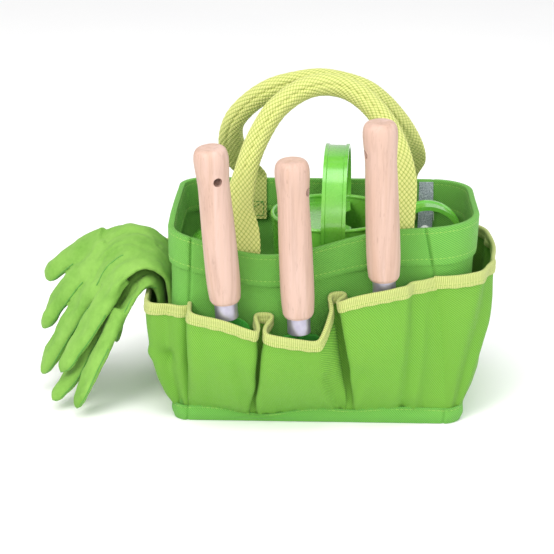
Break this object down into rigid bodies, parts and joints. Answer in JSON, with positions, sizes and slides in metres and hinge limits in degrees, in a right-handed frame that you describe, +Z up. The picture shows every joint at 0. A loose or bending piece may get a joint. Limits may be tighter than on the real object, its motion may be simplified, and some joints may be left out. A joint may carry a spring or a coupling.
{
  "type": "garden tool bag",
  "caption": "Soft green fabric tote ringed with outside pockets, with webbing handles, wooden-handled hand tools, a metal watering can and fabric gloves.",
  "frame": {"origin": "near the middle of the underside of the bag's base, on the floor", "axes": "+X to the bag's right as its front is looked at, +Y from the front towards the back, +Z up"},
  "size_m": [0.358, 0.1901, 0.2544],
  "materials": {
    "green_cloth": "matt coated twill",
    "lime_tape": "ribbed woven tape",
    "lime_webbing": "coarse basket-weave webbing",
    "beech": "bare sanded wood",
    "ferrule_steel": "bright plated",
    "green_enamel_tools": "gloss",
    "green_enamel_can": "gloss",
    "glove_cloth": "soft brushed cotton",
    "grey_strap": "woven",
    "white_snap": "gloss"
  },
  "bodies": {
    "bag": {"front_panel": "green_cloth", "right_panel": "green_cloth", "back_panel": "green_cloth", "left_panel": "green_cloth", "base_panel": "green_cloth", "base_band": "green_cloth", "rim_band": "green_cloth", "pocket_front": "green_cloth", "pocket_right": "green_cloth", "pocket_back": "green_cloth", "pocket_left": "green_cloth", "tape_front": "lime_tape", "tape_right": "lime_tape", "tape_back": "lime_tape", "tape_left": "lime_tape", "front_handle_tab_left": "lime_webbing", "front_handle_tab_right": "lime_webbing", "back_handle_tab_left": "lime_webbing", "back_handle_tab_right": "lime_webbing", "inner_strap": "grey_strap", "snap_stud": "white_snap"},
    "front_handle": {"front_handle_loop": "lime_webbing"},
    "back_handle": {"back_handle_loop": "lime_webbing"},
    "trowel": {"trowel_handle": "beech", "trowel_ferrule": "ferrule_steel", "trowel_head": "green_enamel_tools"},
    "fork": {"fork_handle": "beech", "fork_ferrule": "ferrule_steel", "fork_head": "green_enamel_tools"},
    "rake": {"rake_handle": "beech", "rake_ferrule": "ferrule_steel", "rake_head": "green_enamel_tools"},
    "watering_can": {"can_body": "green_enamel_can", "can_hood": "green_enamel_can", "can_spout": "green_enamel_can", "can_rose": "green_enamel_can", "can_top_strap": "green_enamel_can", "can_back_strap": "green_enamel_can", "can_rivets": "green_enamel_can"},
    "gloves": {"upper_glove": "glove_cloth", "lower_glove": "glove_cloth"}
  },
  "joints": [
    {"name": "front_handle_swing", "type": "hinge", "parent": "bag", "child": "front_handle", "pos_m": [0, -0.0655, 0.1372], "axis": [1, 0, 0], "range_deg": [0, 18]},
    {"name": "back_handle_swing", "type": "hinge", "parent": "bag", "child": "back_handle", "pos_m": [0, 0.057, 0.1544], "axis": [-1, 0, 0], "range_deg": [0, 80]},
    {"name": "trowel_slide", "type": "slide", "parent": "bag", "child": "trowel", "axis": [-0.0746, -0.0848, 0.9936], "range_m": [0, 0.105]},
    {"name": "fork_slide", "type": "slide", "parent": "bag", "child": "fork", "axis": [-0.0445, -0.0411, 0.9982], "range_m": [0, 0.095]},
    {"name": "rake_slide", "type": "slide", "parent": "bag", "child": "rake", "axis": [-0.0487, -0.0554, 0.9973], "range_m": [0, 0.11]},
    {"name": "watering_can_lift", "type": "slide", "parent": "bag", "child": "watering_can", "axis": [0, 0, 1], "range_m": [0, 0.03]},
    {"name": "gloves_lift", "type": "slide", "parent": "bag", "child": "gloves", "axis": [-0.08, 0, 0.9968], "range_m": [0, 0.08]}
  ]
}
